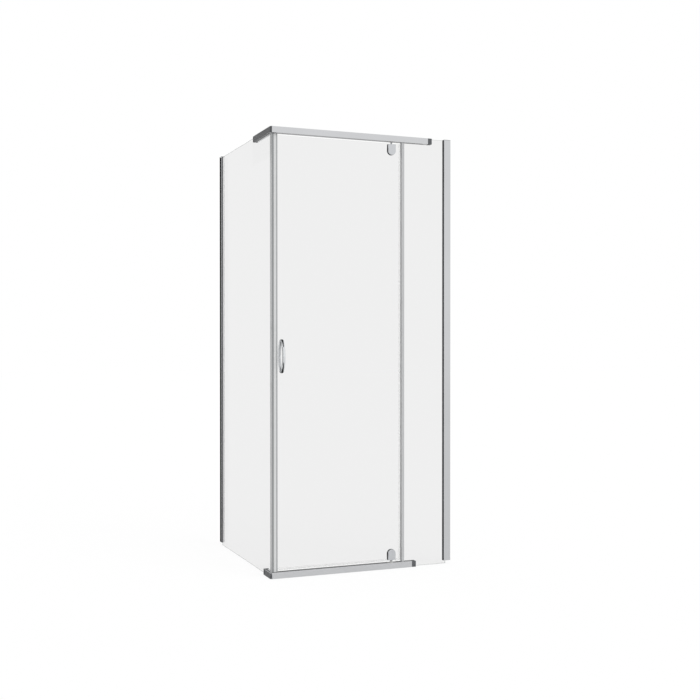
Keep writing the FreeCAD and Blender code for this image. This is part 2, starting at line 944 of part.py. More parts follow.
def door_pieces():
    """Every piece that swings with the door, by name."""
    pads = clamp_pads()
    screws = clamp_screws()
    return {
        "door_leaf": door_leaf(),
        "closing_strip": closing_strip(),
        "closing_magnet": closing_magnet(),
        "tail_edge_seal": edge_seal(),
        "drip_seals": group(drip_seals()),
        "lower_pivot_spindle": spindle(shoulder),
        "upper_pivot_spindle": on_header(spindle(pin)),
        "lower_clamp_front": front_plate(),
        "lower_clamp_rear": rear_plate(),
        "upper_clamp_front": on_header(front_plate()),
        "upper_clamp_rear": on_header(rear_plate()),
        "clamp_pads": group(pads + [on_header(pad) for pad in pads]),
        "clamp_screws": group(screws + [on_header(screw) for screw in screws]),
        "outer_bow_handle": bow(),
        "inner_bow_handle": inner_bow(),
        "handle_studs": group(handle_studs()),
        "handle_washers": group(handle_washers()),
        "handle_sleeves": group(handle_sleeves()),
        "handle_grub_screws": group(grub_screws()),
    }


os.makedirs("parts", exist_ok=True)
for name, shape in {**frame_pieces(), **door_pieces()}.items():
    shape.exportStep(f"parts/{name}.step")
    print(name, len(shape.Solids), shape.isValid())
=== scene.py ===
import json
import math

import bmesh
import bpy
from mathutils import Matrix, Vector

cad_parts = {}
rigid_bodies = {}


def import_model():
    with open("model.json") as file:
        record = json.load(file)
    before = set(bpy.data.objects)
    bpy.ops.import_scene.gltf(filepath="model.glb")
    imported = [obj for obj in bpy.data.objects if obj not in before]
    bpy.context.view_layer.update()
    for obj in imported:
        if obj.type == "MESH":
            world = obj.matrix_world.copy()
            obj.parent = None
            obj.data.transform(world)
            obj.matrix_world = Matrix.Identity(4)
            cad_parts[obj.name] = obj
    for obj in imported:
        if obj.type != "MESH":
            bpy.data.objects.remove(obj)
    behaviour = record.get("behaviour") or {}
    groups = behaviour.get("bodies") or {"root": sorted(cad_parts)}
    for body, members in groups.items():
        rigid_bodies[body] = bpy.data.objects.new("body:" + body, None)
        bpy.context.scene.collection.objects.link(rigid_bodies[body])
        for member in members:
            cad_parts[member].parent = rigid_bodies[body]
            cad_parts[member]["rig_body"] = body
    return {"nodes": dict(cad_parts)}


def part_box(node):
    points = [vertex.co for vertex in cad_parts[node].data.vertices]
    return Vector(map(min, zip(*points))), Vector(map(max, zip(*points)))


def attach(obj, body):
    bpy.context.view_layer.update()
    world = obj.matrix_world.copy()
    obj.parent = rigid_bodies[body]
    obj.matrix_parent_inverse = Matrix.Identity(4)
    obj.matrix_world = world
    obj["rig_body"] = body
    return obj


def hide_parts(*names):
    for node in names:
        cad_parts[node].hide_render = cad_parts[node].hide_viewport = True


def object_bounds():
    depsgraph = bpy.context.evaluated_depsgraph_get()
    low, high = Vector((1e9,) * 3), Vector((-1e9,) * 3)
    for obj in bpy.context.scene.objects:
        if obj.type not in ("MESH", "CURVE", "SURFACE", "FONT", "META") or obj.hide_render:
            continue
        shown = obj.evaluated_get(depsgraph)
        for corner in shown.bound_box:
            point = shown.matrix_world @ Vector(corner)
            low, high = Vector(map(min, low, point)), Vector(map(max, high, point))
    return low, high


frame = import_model()
cad_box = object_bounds()

bl_info = {
    "name": "Corner shower screen",
    "version": (1, 0, 0),
    "blender": (4, 5, 0),
    "location": "View3D > Sidebar > Shower screen",
    "description": "Finishes the packed shower screen and sets up its studio",
    "category": "Object",
}

MM = 0.001
WHITE = (1, 1, 1, 1)

# Typical refractive indices. The door is the exception: it is drawn without bending what is behind it.
GLASS_IOR = 1.52
UNBENT_IOR = 1
RUBBER_IOR = 1.52
PVC_IOR = 1.53
NYLON_IOR = 1.53
ABS_IOR = 1.54

# Roughness of the chrome where it is cleanest.
PLATE_POLISH = 0.05
HANDLE_POLISH = 0.12

# How far the noses of the strike and jamb strips reach before the other shade starts: painted shade on the
# strike's nose, painted light on the jamb's.
STRIKE_NOSE = 1.2 * MM
JAMB_NOSE = 0.9 * MM

# Points nearer than the first are merged, and points nearer than the second lie on one plane.
MERGE_DISTANCE = 0.001 * MM
PLANE_DISTANCE = 0.01 * MM
CREASE_ANGLE = math.radians(35)


def linear(code):
    """Linear colour of an sRGB hex value."""
    shares = [int(code[i : i + 2], 16) / 255 for i in (0, 2, 4)]
    return tuple(s / 12.92 if s <= 0.04045 else ((s + 0.055) / 1.055) ** 2.4 for s in shares)


def colour(name, description, code):
    """A colour that a user may change."""
    return bpy.props.FloatVectorProperty(
        name=name, description=description, subtype="COLOR", size=3, min=0, max=1, default=linear(code)
    )


def length(name, description, metres):
    """A length that a user may change."""
    return bpy.props.FloatProperty(
        name=name, description=description, subtype="DISTANCE", unit="LENGTH", min=0, precision=5,
        default=metres,
    )


class ScreenFinishes(bpy.types.PropertyGroup):
    """Colours of the screen's materials."""

    aluminium: colour("Aluminium", "Anodised rails, slot strips and wall channels", "D1D2D4")
    chrome: colour("Chrome", "Plated clamp plates", "CDCFD2")
    handle_chrome: colour("Handle chrome", "Plated bow handles", "E2E4E6")
    stainless: colour("Stainless steel", "Pins, studs and screws", "A4A5A7")
    glass: colour("Glass", "What white becomes through one face of a pane", "F7F7F7")
    pane_edge: colour("Pane edge", "What white becomes through a fixed pane's ground edge", "B8BCBA")
    door_edge: colour("Door edge", "What white becomes through the door's polished edge", "F2F3F2")
    glass_depth: colour("Glass depth", "What white becomes along the inside of a pane", "6A726F")
    cap: colour("Moulded caps", "Rail caps, channel caps and corner keys", "55575A")
    rubber: colour("Rubber", "Strips in the front wall channel, clamp pads and setting pads", "3A3B3D")
    side_rubber: colour("Side rubber", "Outer strip in the side wall channel", "6A6B6D")
    # The inner strip's near-white is painted light that lifts the shade inside the side channel.
    side_glazing_painted_light: colour("Side glazing strip", "Inner strip in the side wall channel", "FAFAFA")
    glazing: colour("Glazing strips", "Strips in the rails", "D8D9D9")
    strike: colour("Strike strip", "Sides of the strip on the side pane", "CBCCCC")
    # The strike nose's dark grey is painted shade: the shade that falls in the gap at the strip's front.
    strike_painted_shade: colour("Strike nose", "Front of that strip, over its magnet", "8E9091")
    closing_head: colour("Closing head", "Head of the strip on the door's leading edge", "D2D3D3")
    closing_legs: colour("Closing legs", "Legs of that strip on the glass", "A0A2A3")
    jamb: colour("Jamb strip", "Strip on the inline pane's free edge", "B8B9BA")
    # The jamb nose's lighter grey is painted light that lifts the shade on the side facing the door's tail.
    jamb_painted_light: colour("Jamb nose", "Side of that strip that faces the door's tail", "CCCDCE")
    clear_seal: colour("Clear seals", "Door seals, setting blocks, handle washers and sleeves", "FDFDFD")
    nylon: colour("Nylon", "Pivot blocks and thrust washer", "CFCFCC")
    magnet: colour("Magnets", "Magnetic strips inside the upright seals", "3D3B3A")


class ScreenSizes(bpy.types.PropertyGroup):
    """Sizes of the pieces that are modelled here."""

    handle_bar: length("Handle bar", "Diameter of the bows' round bar", 14 * MM)
    handle_collar: length("Handle collar", "Height of the rim at a bow's foot", 1.6 * MM)
    handle_elbow: length("Handle elbow", "Centre-line radius of the bend above a foot", 9 * MM)
    cap_slot: length("Cap slot", "Width of the slot that a pane passes through", 6.6 * MM)
    cap_floor: length("Cap floor", "Material left under that slot", 2 * MM)
    cap_edge: length("Cap edge", "Rounding of the caps' long edges", 1.5 * MM)
    cap_end_edge: length("Cap end edge", "Rounding round the caps' ends", 1 * MM)


class ScreenStudio(bpy.types.PropertyGroup):
    """Camera, light and the cards that the metal reflects."""

    camera_place: bpy.props.FloatVectorProperty(
        name="Camera place", description="Where the camera stands", subtype="TRANSLATION", unit="LENGTH",
        size=3, precision=4, default=(-1.4401, -4.4799, 1.0478),
    )
    camera_turn: bpy.props.FloatProperty(
        name="Camera turn", description="Turn from the front's square view, to the right",
        subtype="ANGLE", unit="ROTATION", default=math.radians(22.0002),
    )
    camera_dip: bpy.props.FloatProperty(
        name="Camera dip", description="How far the camera looks down",
        subtype="ANGLE", unit="ROTATION", default=math.radians(0.4274),
    )
    camera_lens: bpy.props.FloatProperty(
        name="Lens", description="Focal length on a 36 mm sensor", unit="CAMERA", default=54.565
    )
    room_light: bpy.props.FloatProperty(
        name="Room light", description="Strength of the even light from all round", min=0, default=0.66
    )
    key_light: bpy.props.FloatProperty(
        name="Key light", description="Strength of the soft light from above the front", min=0, default=1.57
    )
    floor: colour("Floor", "The studio floor", "E0E0E0")
    # These cards glow and only reflections see them: the dark, grey and pale ones paint shade into the metal,
    # and the white one paints light.
    dark_card: colour("Dark cards", "Cards that deepen the handles' ends and the side channel", "303030")
    grey_card: colour("Grey cards", "Cards that give the returns and the sill's top their tone", "7C7C7C")
    pale_card: colour("Pale cards", "Cards that tone the header's underside and the outer bow", "B3B3B3")
    white_card: colour("White card", "Card that clears the inner bow's side", "F0F0F0")


def add_node(tree, kind, sockets=None, **settings):
    """Adds a node, with values or links for its sockets and with its settings."""
    node = tree.nodes.new(kind)
    for name, value in settings.items():
        setattr(node, name, value)
    for socket, value in (sockets or {}).items():
        if isinstance(value, bpy.types.NodeSocket):
            tree.links.new(value, node.inputs[socket])
        else:
            node.inputs[socket].default_value = value
    return node


def new_material(name):
    """An empty material and its node tree."""
    material = bpy.data.materials.new(name)
    material.use_nodes = True
    material.node_tree.nodes.clear()
    return material, material.node_tree


def rgba(colour, share=1):
    """A colour with its alpha, or a share of that colour."""
    return (*(c * share for c in colour), 1)


def per_metre(*sizes_mm):
    """A Mapping scale that makes one unit of a pattern as long as these sizes along X, Y and Z."""
    return tuple(1 / (size * MM) for size in sizes_mm)


def seen_share(tree, reflected):
    """1 for rays from the camera and through glass, the given share for reflections, else 0."""
    path = add_node(tree, "ShaderNodeLightPath")
    direct = {0: path.outputs["Is Camera Ray"], 1: path.outputs["Is Transmission Ray"]}
    seen = add_node(tree, "ShaderNodeMath", direct, operation="MAXIMUM")
    glossy = {0: path.outputs["Is Glossy Ray"], 1: reflected}
    mirrored = add_node(tree, "ShaderNodeMath", glossy, operation="MULTIPLY")
    either = {0: seen.outputs[0], 1: mirrored.outputs[0]}
    return add_node(tree, "ShaderNodeMath", either, operation="MAXIMUM").outputs[0]


def anodised_aluminium(colour, along):
    """Extruded, etched and clear anodised: a soft even gleam, with faint die lines along the section."""
    material, tree = new_material("anodised_aluminium_" + along)
    place = add_node(tree, "ShaderNodeTexCoord").outputs["Object"]
    # Die lines are about 0.3 mm apart, and are drawn at 3 mm so that the render shows them.
    line_gap, line_run = 3, 420
    line_size = [line_run if axis == along else line_gap for axis in "xyz"]
    lines = add_node(tree, "ShaderNodeMapping", {"Vector": place, "Scale": per_metre(*line_size)})
    die = add_node(
        tree, "ShaderNodeTexNoise", {"Vector": lines.outputs[0], "Scale": 1, "Detail": 4, "Roughness": 0.55}
    )
    # The etch leaves a slow drift of tone, over about 160 mm.
    drift_size, darkest = (160, 160, 160), 0.93
    drift_map = add_node(tree, "ShaderNodeMapping", {"Vector": place, "Scale": per_metre(*drift_size)})
    drift = add_node(tree, "ShaderNodeTexNoise", {"Vector": drift_map.outputs[0], "Scale": 1, "Detail": 2})
    tone = add_node(
        tree,
        "ShaderNodeMix",
        {0: drift.outputs[0], 6: rgba(colour, darkest), 7: rgba(colour)},
        data_type="RGBA",
    )
    rough = add_node(tree, "ShaderNodeMapRange", {"Value": die.outputs[0], "To Min": 0.1, "To Max": 0.2})
    bump = add_node(
        tree, "ShaderNodeBump", {"Height": die.outputs[0], "Strength": 0.06, "Distance": 0.2 * MM}
    )
    metal = add_node(
        tree,
        "ShaderNodeBsdfPrincipled",
        {
            "Base Color": tone.outputs[2],
            "Metallic": 1,
            "Roughness": rough.outputs[0],
            "Normal": bump.outputs[0],
        },
    )
    add_node(tree, "ShaderNodeOutputMaterial", {"Surface": metal.outputs[0]})
    return material


def polished_chrome(name, colour, polish):
    """Plated and buffed: a mirror, dulled in places by a thin film of lime and soap."""
    material, tree = new_material(name)
    place = add_node(tree, "ShaderNodeTexCoord").outputs["Object"]
    # The film dries in patches about 14 mm wide, longer where the water ran down.
    film_size, film_roughness, dullest = (14, 14, 22), 0.08, 0.94
    film_map = add_node(tree, "ShaderNodeMapping", {"Vector": place, "Scale": per_metre(*film_size)})
    film = add_node(
        tree, "ShaderNodeTexNoise", {"Vector": film_map.outputs[0], "Scale": 1, "Detail": 5, "Roughness": 0.6}
    )
    # Buffing marks are under 0.1 mm wide, and are drawn at 0.8 mm so that a close view shows them.
    mark_size = (0.8, 0.8, 9)
    marks_map = add_node(tree, "ShaderNodeMapping", {"Vector": place, "Scale": per_metre(*mark_size)})
    marks = add_node(tree, "ShaderNodeTexNoise", {"Vector": marks_map.outputs[0], "Scale": 1, "Detail": 3})
    rough = add_node(
        tree,
        "ShaderNodeMapRange",
        {"Value": film.outputs[0], "To Min": polish, "To Max": polish + film_roughness},
    )
    bump = add_node(
        tree, "ShaderNodeBump", {"Height": marks.outputs[0], "Strength": 0.03, "Distance": 0.05 * MM}
    )
    tone = add_node(
        tree,
        "ShaderNodeMix",
        {0: film.outputs[0], 6: rgba(colour), 7: rgba(colour, dullest)},
        data_type="RGBA",
    )
    metal = add_node(
        tree,
        "ShaderNodeBsdfPrincipled",
        {
            "Base Color": tone.outputs[2],
            "Metallic": 1,
            "Roughness": rough.outputs[0],
            "Normal": bump.outputs[0],
        },
    )
    add_node(tree, "ShaderNodeOutputMaterial", {"Surface": metal.outputs[0]})
    return material


def turned_stainless(colour):
    """Turned bar and pressed heads: greyer than chrome, with fine tool rings that spread its gleam."""
    material, tree = new_material("turned_stainless")
    place = add_node(tree, "ShaderNodeTexCoord").outputs["Object"]
    # Tool rings are about 0.1 mm apart, and are drawn at 0.5 mm.
    ring_size = (6, 6, 0.5)
    rings_map = add_node(tree, "ShaderNodeMapping", {"Vector": place, "Scale": per_metre(*ring_size)})
    rings = add_node(tree, "ShaderNodeTexNoise", {"Vector": rings_map.outputs[0], "Scale": 1, "Detail": 3})
    rough = add_node(tree, "ShaderNodeMapRange", {"Value": rings.outputs[0], "To Min": 0.22, "To Max": 0.4})
    bump = add_node(
        tree, "ShaderNodeBump", {"Height": rings.outputs[0], "Strength": 0.1, "Distance": 0.05 * MM}
    )
    metal = add_node(
        tree,
        "ShaderNodeBsdfPrincipled",
        {
            "Base Color": rgba(colour),
            "Metallic": 1,
            "Roughness": rough.outputs[0],
            "Normal": bump.outputs[0],
        },
    )
    add_node(tree, "ShaderNodeOutputMaterial", {"Surface": metal.outputs[0]})
    return material


def toughened_glass(name, colour, edge_colour, depth_colour, facing, ior):
    """Float glass, toughened: clear with a trace of grey, a shade deeper at its ground or polished edges."""
    material, tree = new_material(name)
    coordinates = add_node(tree, "ShaderNodeTexCoord")
    # A face that looks along the pane's own axis is clear. One that looks aside is the edge or its arris.
    sides = add_node(tree, "ShaderNodeSeparateXYZ", {0: coordinates.outputs["Normal"]})
    flat = add_node(tree, "ShaderNodeMath", {0: sides.outputs[facing.upper()]}, operation="ABSOLUTE")
    share = add_node(
        tree, "ShaderNodeMapRange", {"Value": flat.outputs[0], "From Min": 0.75, "From Max": 0.95}
    )
    tint = add_node(
        tree, "ShaderNodeMix", {0: share.outputs[0], 6: rgba(edge_colour), 7: rgba(colour)}, data_type="RGBA"
    )
    # The furnace's rollers leave waves about 280 mm apart up the pane and far longer across it.
    wave_size = (1600, 1600, 280)
    wave_map = add_node(
        tree, "ShaderNodeMapping", {"Vector": coordinates.outputs["Object"], "Scale": per_metre(*wave_size)}
    )
    wave = add_node(tree, "ShaderNodeTexNoise", {"Vector": wave_map.outputs[0], "Scale": 1, "Detail": 0})
    bump = add_node(
        tree, "ShaderNodeBump", {"Height": wave.outputs[0], "Strength": 0.05, "Distance": 0.2 * MM}
    )
    straight = add_node(tree, "ShaderNodeBsdfTransparent", {"Color": tint.outputs[2]})
    bent = add_node(tree, "ShaderNodeBsdfRefraction", {"Color": tint.outputs[2], "Roughness": 0, "IOR": ior})
    # A ray that meets a face too flatly from inside stays in the pane, and shows the glass's own depth.
    inside = add_node(tree, "ShaderNodeNewGeometry").outputs["Backfacing"]
    lean = add_node(tree, "ShaderNodeLayerWeight", {"Blend": 0.5}).outputs["Facing"]
    flat_limit = 1 - math.sqrt(1 - 1 / ior**2)
    flatly = add_node(tree, "ShaderNodeMath", {0: lean, 1: flat_limit}, operation="GREATER_THAN")
    caught = add_node(tree, "ShaderNodeMath", {0: inside, 1: flatly.outputs[0]}, operation="MULTIPLY")
    depth = add_node(tree, "ShaderNodeBsdfTransparent", {"Color": rgba(depth_colour)})
    seen = add_node(
        tree, "ShaderNodeMixShader", {0: caught.outputs[0], 1: bent.outputs[0], 2: depth.outputs[0]}
    )
    # What is seen through the pane is bent, and light and reflections go straight through.
    through = add_node(
        tree, "ShaderNodeMixShader", {0: seen_share(tree, 0), 1: straight.outputs[0], 2: seen.outputs[0]}
    )
    mirror = add_node(
        tree, "ShaderNodeBsdfGlossy", {"Color": WHITE, "Roughness": 0.01, "Normal": bump.outputs[0]}
    )
    # The easy-clean coating leaves a tenth of bare glass's mirror image: 0.4% square on, more at a glance.
    square_on, at_a_glance, steepness = 0.004, 0.096, 5
    slant = add_node(tree, "ShaderNodeLayerWeight", {"Blend": 0.5, "Normal": bump.outputs[0]})
    rise = add_node(tree, "ShaderNodeMath", {0: slant.outputs["Facing"], 1: steepness}, operation="POWER")
    coated = add_node(
        tree, "ShaderNodeMath", {0: rise.outputs[0], 1: at_a_glance, 2: square_on}, operation="MULTIPLY_ADD"
    )
    pane = add_node(
        tree, "ShaderNodeMixShader", {0: coated.outputs[0], 1: through.outputs[0], 2: mirror.outputs[0]}
    )
    add_node(tree, "ShaderNodeOutputMaterial", {"Surface": pane.outputs[0]})
    return material


def clear_pvc(colour):
    """Soft clear PVC, extruded or moulded: nearly gone against the glass, with a slightly cloudy skin."""
    material, tree = new_material("clear_pvc")
    place = add_node(tree, "ShaderNodeTexCoord").outputs["Object"]
    # The skin clouds in streaks about 5 mm wide and 60 mm long.
    streak_size = (5, 5, 60)
    skin_map = add_node(tree, "ShaderNodeMapping", {"Vector": place, "Scale": per_metre(*streak_size)})
    skin = add_node(tree, "ShaderNodeTexNoise", {"Vector": skin_map.outputs[0], "Scale": 1, "Detail": 3})
    rough = add_node(tree, "ShaderNodeMapRange", {"Value": skin.outputs[0], "To Min": 0.2, "To Max": 0.35})
    cloud = add_node(tree, "ShaderNodeMapRange", {"Value": skin.outputs[0], "To Min": 0.01, "To Max": 0.04})
    through = add_node(tree, "ShaderNodeBsdfTransparent", {"Color": rgba(colour)})
    skin_shine = add_node(
        tree,
        "ShaderNodeBsdfPrincipled",
        {"Base Color": rgba(colour), "Roughness": rough.outputs[0], "IOR": PVC_IOR},
    )
    seal = add_node(
        tree, "ShaderNodeMixShader", {0: cloud.outputs[0], 1: through.outputs[0], 2: skin_shine.outputs[0]}
    )
    add_node(tree, "ShaderNodeOutputMaterial", {"Surface": seal.outputs[0]})
    return material


def grey_pvc(name, low_colour, high_colour, axis, edge):
    """Rigid PVC in two shades that meet along an axis: satin, with faint lines up its length. The strike's
    nose shade is painted shade; the jamb's nose and the side channel's inner strip are painted light.
    """
    material, tree = new_material(name)
    place = add_node(tree, "ShaderNodeTexCoord").outputs["Object"]
    parts = add_node(tree, "ShaderNodeSeparateXYZ", {0: place})
    # The two shades run into each other over 0.6 mm.
    half_melt = 0.3 * MM
    shade = add_node(
        tree,
        "ShaderNodeMapRange",
        {"Value": parts.outputs[axis.upper()], "From Min": edge - half_melt, "From Max": edge + half_melt},
    )
    body = add_node(
        tree,
        "ShaderNodeMix",
        {0: shade.outputs[0], 6: rgba(low_colour), 7: rgba(high_colour)},
        data_type="RGBA",
    )
    # Die lines are about 0.2 mm apart, and are drawn at 1.6 mm.
    line_size = (1.6, 1.6, 300)
    lines_map = add_node(tree, "ShaderNodeMapping", {"Vector": place, "Scale": per_metre(*line_size)})
    lines = add_node(tree, "ShaderNodeTexNoise", {"Vector": lines_map.outputs[0], "Scale": 1, "Detail": 3})
    streak = add_node(tree, "ShaderNodeMapRange", {"Value": lines.outputs[0], "To Min": 0.9, "To Max": 1.06})
    streaked = add_node(
        tree,
        "ShaderNodeMix",
        {0: 1, 6: body.outputs[2], 7: streak.outputs[0]},
        data_type="RGBA",
        blend_type="MULTIPLY",
    )
    rough = add_node(tree, "ShaderNodeMapRange", {"Value": lines.outputs[0], "To Min": 0.32, "To Max": 0.5})
    bump = add_node(
        tree, "ShaderNodeBump", {"Height": lines.outputs[0], "Strength": 0.1, "Distance": 0.1 * MM}
    )
    pvc = add_node(
        tree,
        "ShaderNodeBsdfPrincipled",
        {
            "Base Color": streaked.outputs[2],
            "Roughness": rough.outputs[0],
            "IOR": PVC_IOR,
            "Specular IOR Level": 0.3,
            "Normal": bump.outputs[0],
        },
    )
    add_node(tree, "ShaderNodeOutputMaterial", {"Surface": pvc.outputs[0]})
    return material


def moulded_abs(colour):
    """Dark ABS from a spark-eroded mould: dull, with a fine even pebble that breaks up every highlight."""
    material, tree = new_material("moulded_abs")
    place = add_node(tree, "ShaderNodeTexCoord").outputs["Object"]
    # The pebble is about 0.15 mm, and is drawn at 0.7 mm.
    pebble_size = (0.7, 0.7, 0.7)
    grain_map = add_node(tree, "ShaderNodeMapping", {"Vector": place, "Scale": per_metre(*pebble_size)})
    grain = add_node(tree, "ShaderNodeTexVoronoi", {"Vector": grain_map.outputs[0], "Scale": 1})
    # The melt's flow leaves patches of tone about 9 mm wide.
    flow_size, darkest = (9, 9, 9), 0.82
    flow_map = add_node(tree, "ShaderNodeMapping", {"Vector": place, "Scale": per_metre(*flow_size)})
    flow = add_node(tree, "ShaderNodeTexNoise", {"Vector": flow_map.outputs[0], "Scale": 1, "Detail": 2})
    tone = add_node(
        tree,
        "ShaderNodeMix",
        {0: flow.outputs[0], 6: rgba(colour, darkest), 7: rgba(colour)},
        data_type="RGBA",
    )
    rough = add_node(
        tree, "ShaderNodeMapRange", {"Value": grain.outputs["Distance"], "To Min": 0.42, "To Max": 0.6}
    )
    bump = add_node(
        tree, "ShaderNodeBump", {"Height": grain.outputs["Distance"], "Strength": 0.25, "Distance": 0.08 * MM}
    )
    plastic = add_node(
        tree,
        "ShaderNodeBsdfPrincipled",
        {
            "Base Color": tone.outputs[2],
            "Roughness": rough.outputs[0],
            "IOR": ABS_IOR,
            "Normal": bump.outputs[0],
        },
    )
    add_node(tree, "ShaderNodeOutputMaterial", {"Surface": plastic.outputs[0]})
    return material


def extruded_rubber(name, colour):
    """EPDM, extruded and cured: near black and matt, chalky where it has been rubbed."""
    material, tree = new_material(name)
    place = add_node(tree, "ShaderNodeTexCoord").outputs["Object"]
    # The skin's grain is about 0.2 mm, and is drawn at 1.2 mm.
    grain_size = (1.2, 1.2, 1.2)
    grain_map = add_node(tree, "ShaderNodeMapping", {"Vector": place, "Scale": per_metre(*grain_size)})
    grain = add_node(tree, "ShaderNodeTexNoise", {"Vector": grain_map.outputs[0], "Scale": 1, "Detail": 4})
    # The chalky bloom lies in patches about 40 mm wide and 90 mm long.
    bloom_size, bloom_gain, bloom_lift = (40, 40, 90), 1.35, 0.004
    bloom_map = add_node(tree, "ShaderNodeMapping", {"Vector": place, "Scale": per_metre(*bloom_size)})
    bloom = add_node(tree, "ShaderNodeTexNoise", {"Vector": bloom_map.outputs[0], "Scale": 1, "Detail": 3})
    chalky = tuple(min(1, c * bloom_gain + bloom_lift) for c in colour)
    tone = add_node(
        tree, "ShaderNodeMix", {0: bloom.outputs[0], 6: rgba(colour), 7: rgba(chalky)}, data_type="RGBA"
    )
    rough = add_node(tree, "ShaderNodeMapRange", {"Value": grain.outputs[0], "To Min": 0.55, "To Max": 0.8})
    bump = add_node(
        tree, "ShaderNodeBump", {"Height": grain.outputs[0], "Strength": 0.2, "Distance": 0.1 * MM}
    )
    rubber = add_node(
        tree,
        "ShaderNodeBsdfPrincipled",
        {
            "Base Color": tone.outputs[2],
            "Roughness": rough.outputs[0],
            "IOR": RUBBER_IOR,
            "Normal": bump.outputs[0],
        },
    )
    add_node(tree, "ShaderNodeOutputMaterial", {"Surface": rubber.outputs[0]})
    return material


def machined_nylon(colour):
    """Natural nylon, machined: creamy white and waxy, with light soaking in and fine cutter marks."""
    material, tree = new_material("machined_nylon")
    place = add_node(tree, "ShaderNodeTexCoord").outputs["Object"]
    # Cutter marks are about 0.2 mm apart, and are drawn at 0.6 mm.
    cut_size = (0.6, 12, 3)
    cut_map = add_node(tree, "ShaderNodeMapping", {"Vector": place, "Scale": per_metre(*cut_size)})
    cut = add_node(tree, "ShaderNodeTexNoise", {"Vector": cut_map.outputs[0], "Scale": 1, "Detail": 2})
    rough = add_node(tree, "ShaderNodeMapRange", {"Value": cut.outputs[0], "To Min": 0.38, "To Max": 0.55})
    bump = add_node(
        tree, "ShaderNodeBump", {"Height": cut.outputs[0], "Strength": 0.15, "Distance": 0.08 * MM}
    )
    nylon = add_node(
        tree,
        "ShaderNodeBsdfPrincipled",
        {
            "Base Color": rgba(colour),
            "Roughness": rough.outputs[0],
            "IOR": NYLON_IOR,
            "Subsurface Weight": 0.25,
            "Subsurface Radius": (1, 0.9, 0.75),
            "Subsurface Scale": 1.5 * MM,
            "Normal": bump.outputs[0],
        },
    )
    add_node(tree, "ShaderNodeOutputMaterial", {"Surface": nylon.outputs[0]})
    return material


def finish_nodes(material, *nodes):
    """Gives CAD nodes a material."""
    for node in nodes:
        for slot in frame["nodes"][node].material_slots:
            slot.material = material


def add_piece(name, bm, node, material):
    """Makes the finished mesh an object that stands for a CAD node and moves with its body."""
    bmesh.ops.remove_doubles(bm, verts=bm.verts, dist=MERGE_DISTANCE)
    bmesh.ops.recalc_face_normals(bm, faces=bm.faces)
    mesh = bpy.data.meshes.new(name)
    bm.to_mesh(mesh)
    bm.free()
    mesh.materials.append(material)
    mesh.shade_smooth()
    mesh.set_sharp_from_angle(angle=CREASE_ANGLE)
    piece = bpy.data.objects.new(name, mesh)
    bpy.context.scene.collection.objects.link(piece)
    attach(piece, frame["nodes"][node]["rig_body"])
    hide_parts(node)


def new_verts(geometry):
    """The vertices in an operator's result."""
    return [item for item in geometry if isinstance(item, bmesh.types.BMVert)]


def new_edges(geometry):
    """The edges in an operator's result."""
    return [item for item in geometry if isinstance(item, bmesh.types.BMEdge)]


def bow_mesh(node, sizes):
    """A bent round bar from foot to foot: a rim on each washer, a short bend, and one long bow between."""
    low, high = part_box(node)
    stud_low, stud_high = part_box("handle_studs")
    stud = stud_high.x - stud_low.x
    half = (stud_high.z - stud_low.z - stud) / 2
    outside = low.y + high.y < 0
    seat = min(abs(low.y), abs(high.y))
    radius = sizes.handle_bar / 2
    foot = (high.x - low.x) / 2
    stand = max(abs(low.y), abs(high.y)) - radius
    middle = (low + high) / 2
    ring_sides, elbow_steps, bow_steps = 32, 12, 48

    # A foot from the washer up: how far each step rises, as a share of the collar, and its two radii.
    base_share = 0.93
    foot_steps = (
        (0.15, foot * base_share, foot),
        (0.6, foot, foot),
        (0.25, foot, radius),
        (0.6, radius, radius),
    )
    collar, bend = sizes.handle_collar, sizes.handle_elbow
    bend_start = seat + collar * sum(rise_share for rise_share, _, _ in foot_steps)
    beside, below = half - bend, bend_start - stand
    sweep_radius = (beside**2 + below**2 - bend**2) / (-2 * (bend + below))
    sweep = math.atan2(beside, sweep_radius + below)
    elbow = math.pi / 2 - sweep

    bm = bmesh.new()
    flat_on_glass = Matrix.Rotation(math.radians(90), 4, "X")
    bmesh.ops.create_circle(
        bm, cap_ends=True, segments=ring_sides, radius=foot * base_share, matrix=flat_on_glass
    )
    bmesh.ops.translate(bm, verts=bm.verts, vec=(0, seat, -half))
    ring = bm.edges[:]

    def rise(ring, distance, ratio):
        """Draws the ring out along the foot, and makes it wider or narrower."""
        grown = bmesh.ops.extrude_edge_only(bm, edges=ring)["geom"]
        verts = new_verts(grown)
        centre = sum((v.co for v in verts), Vector()) / len(verts)
        bmesh.ops.scale(bm, verts=verts, vec=(ratio, 1, ratio), space=Matrix.Translation(-centre))
        bmesh.ops.translate(bm, verts=verts, vec=(0, distance, 0))
        return new_edges(grown)

    def turn(ring, centre, angle, steps):
        """Sweeps the ring round a centre, about the axis that lies across the bow."""
        swept = bmesh.ops.spin(
            bm,
            geom=list({v for e in ring for v in e.verts}) + ring,
            cent=centre,
            axis=(1, 0, 0),
            angle=angle,
            steps=steps,
            use_duplicate=False,
        )
        return new_edges(swept["geom_last"])

    for rise_share, start_radius, end_radius in foot_steps:
        ring = rise(ring, rise_share * collar, end_radius / start_radius)
    ring = turn(ring, (0, bend_start, -half + bend), elbow, elbow_steps)
    ring = turn(ring, (0, stand - sweep_radius, 0), 2 * sweep, bow_steps)
    ring = turn(ring, (0, bend_start, half - bend), elbow, elbow_steps)
    for rise_share, start_radius, end_radius in reversed(foot_steps):
        ring = rise(ring, -rise_share * collar, start_radius / end_radius)
    bmesh.ops.edgeloop_fill(bm, edges=ring)
    bmesh.ops.scale(bm, verts=bm.verts, vec=(1, -1 if outside else 1, 1))
    bmesh.ops.translate(bm, verts=bm.verts, vec=(middle.x, 0, middle.z))
    return bm


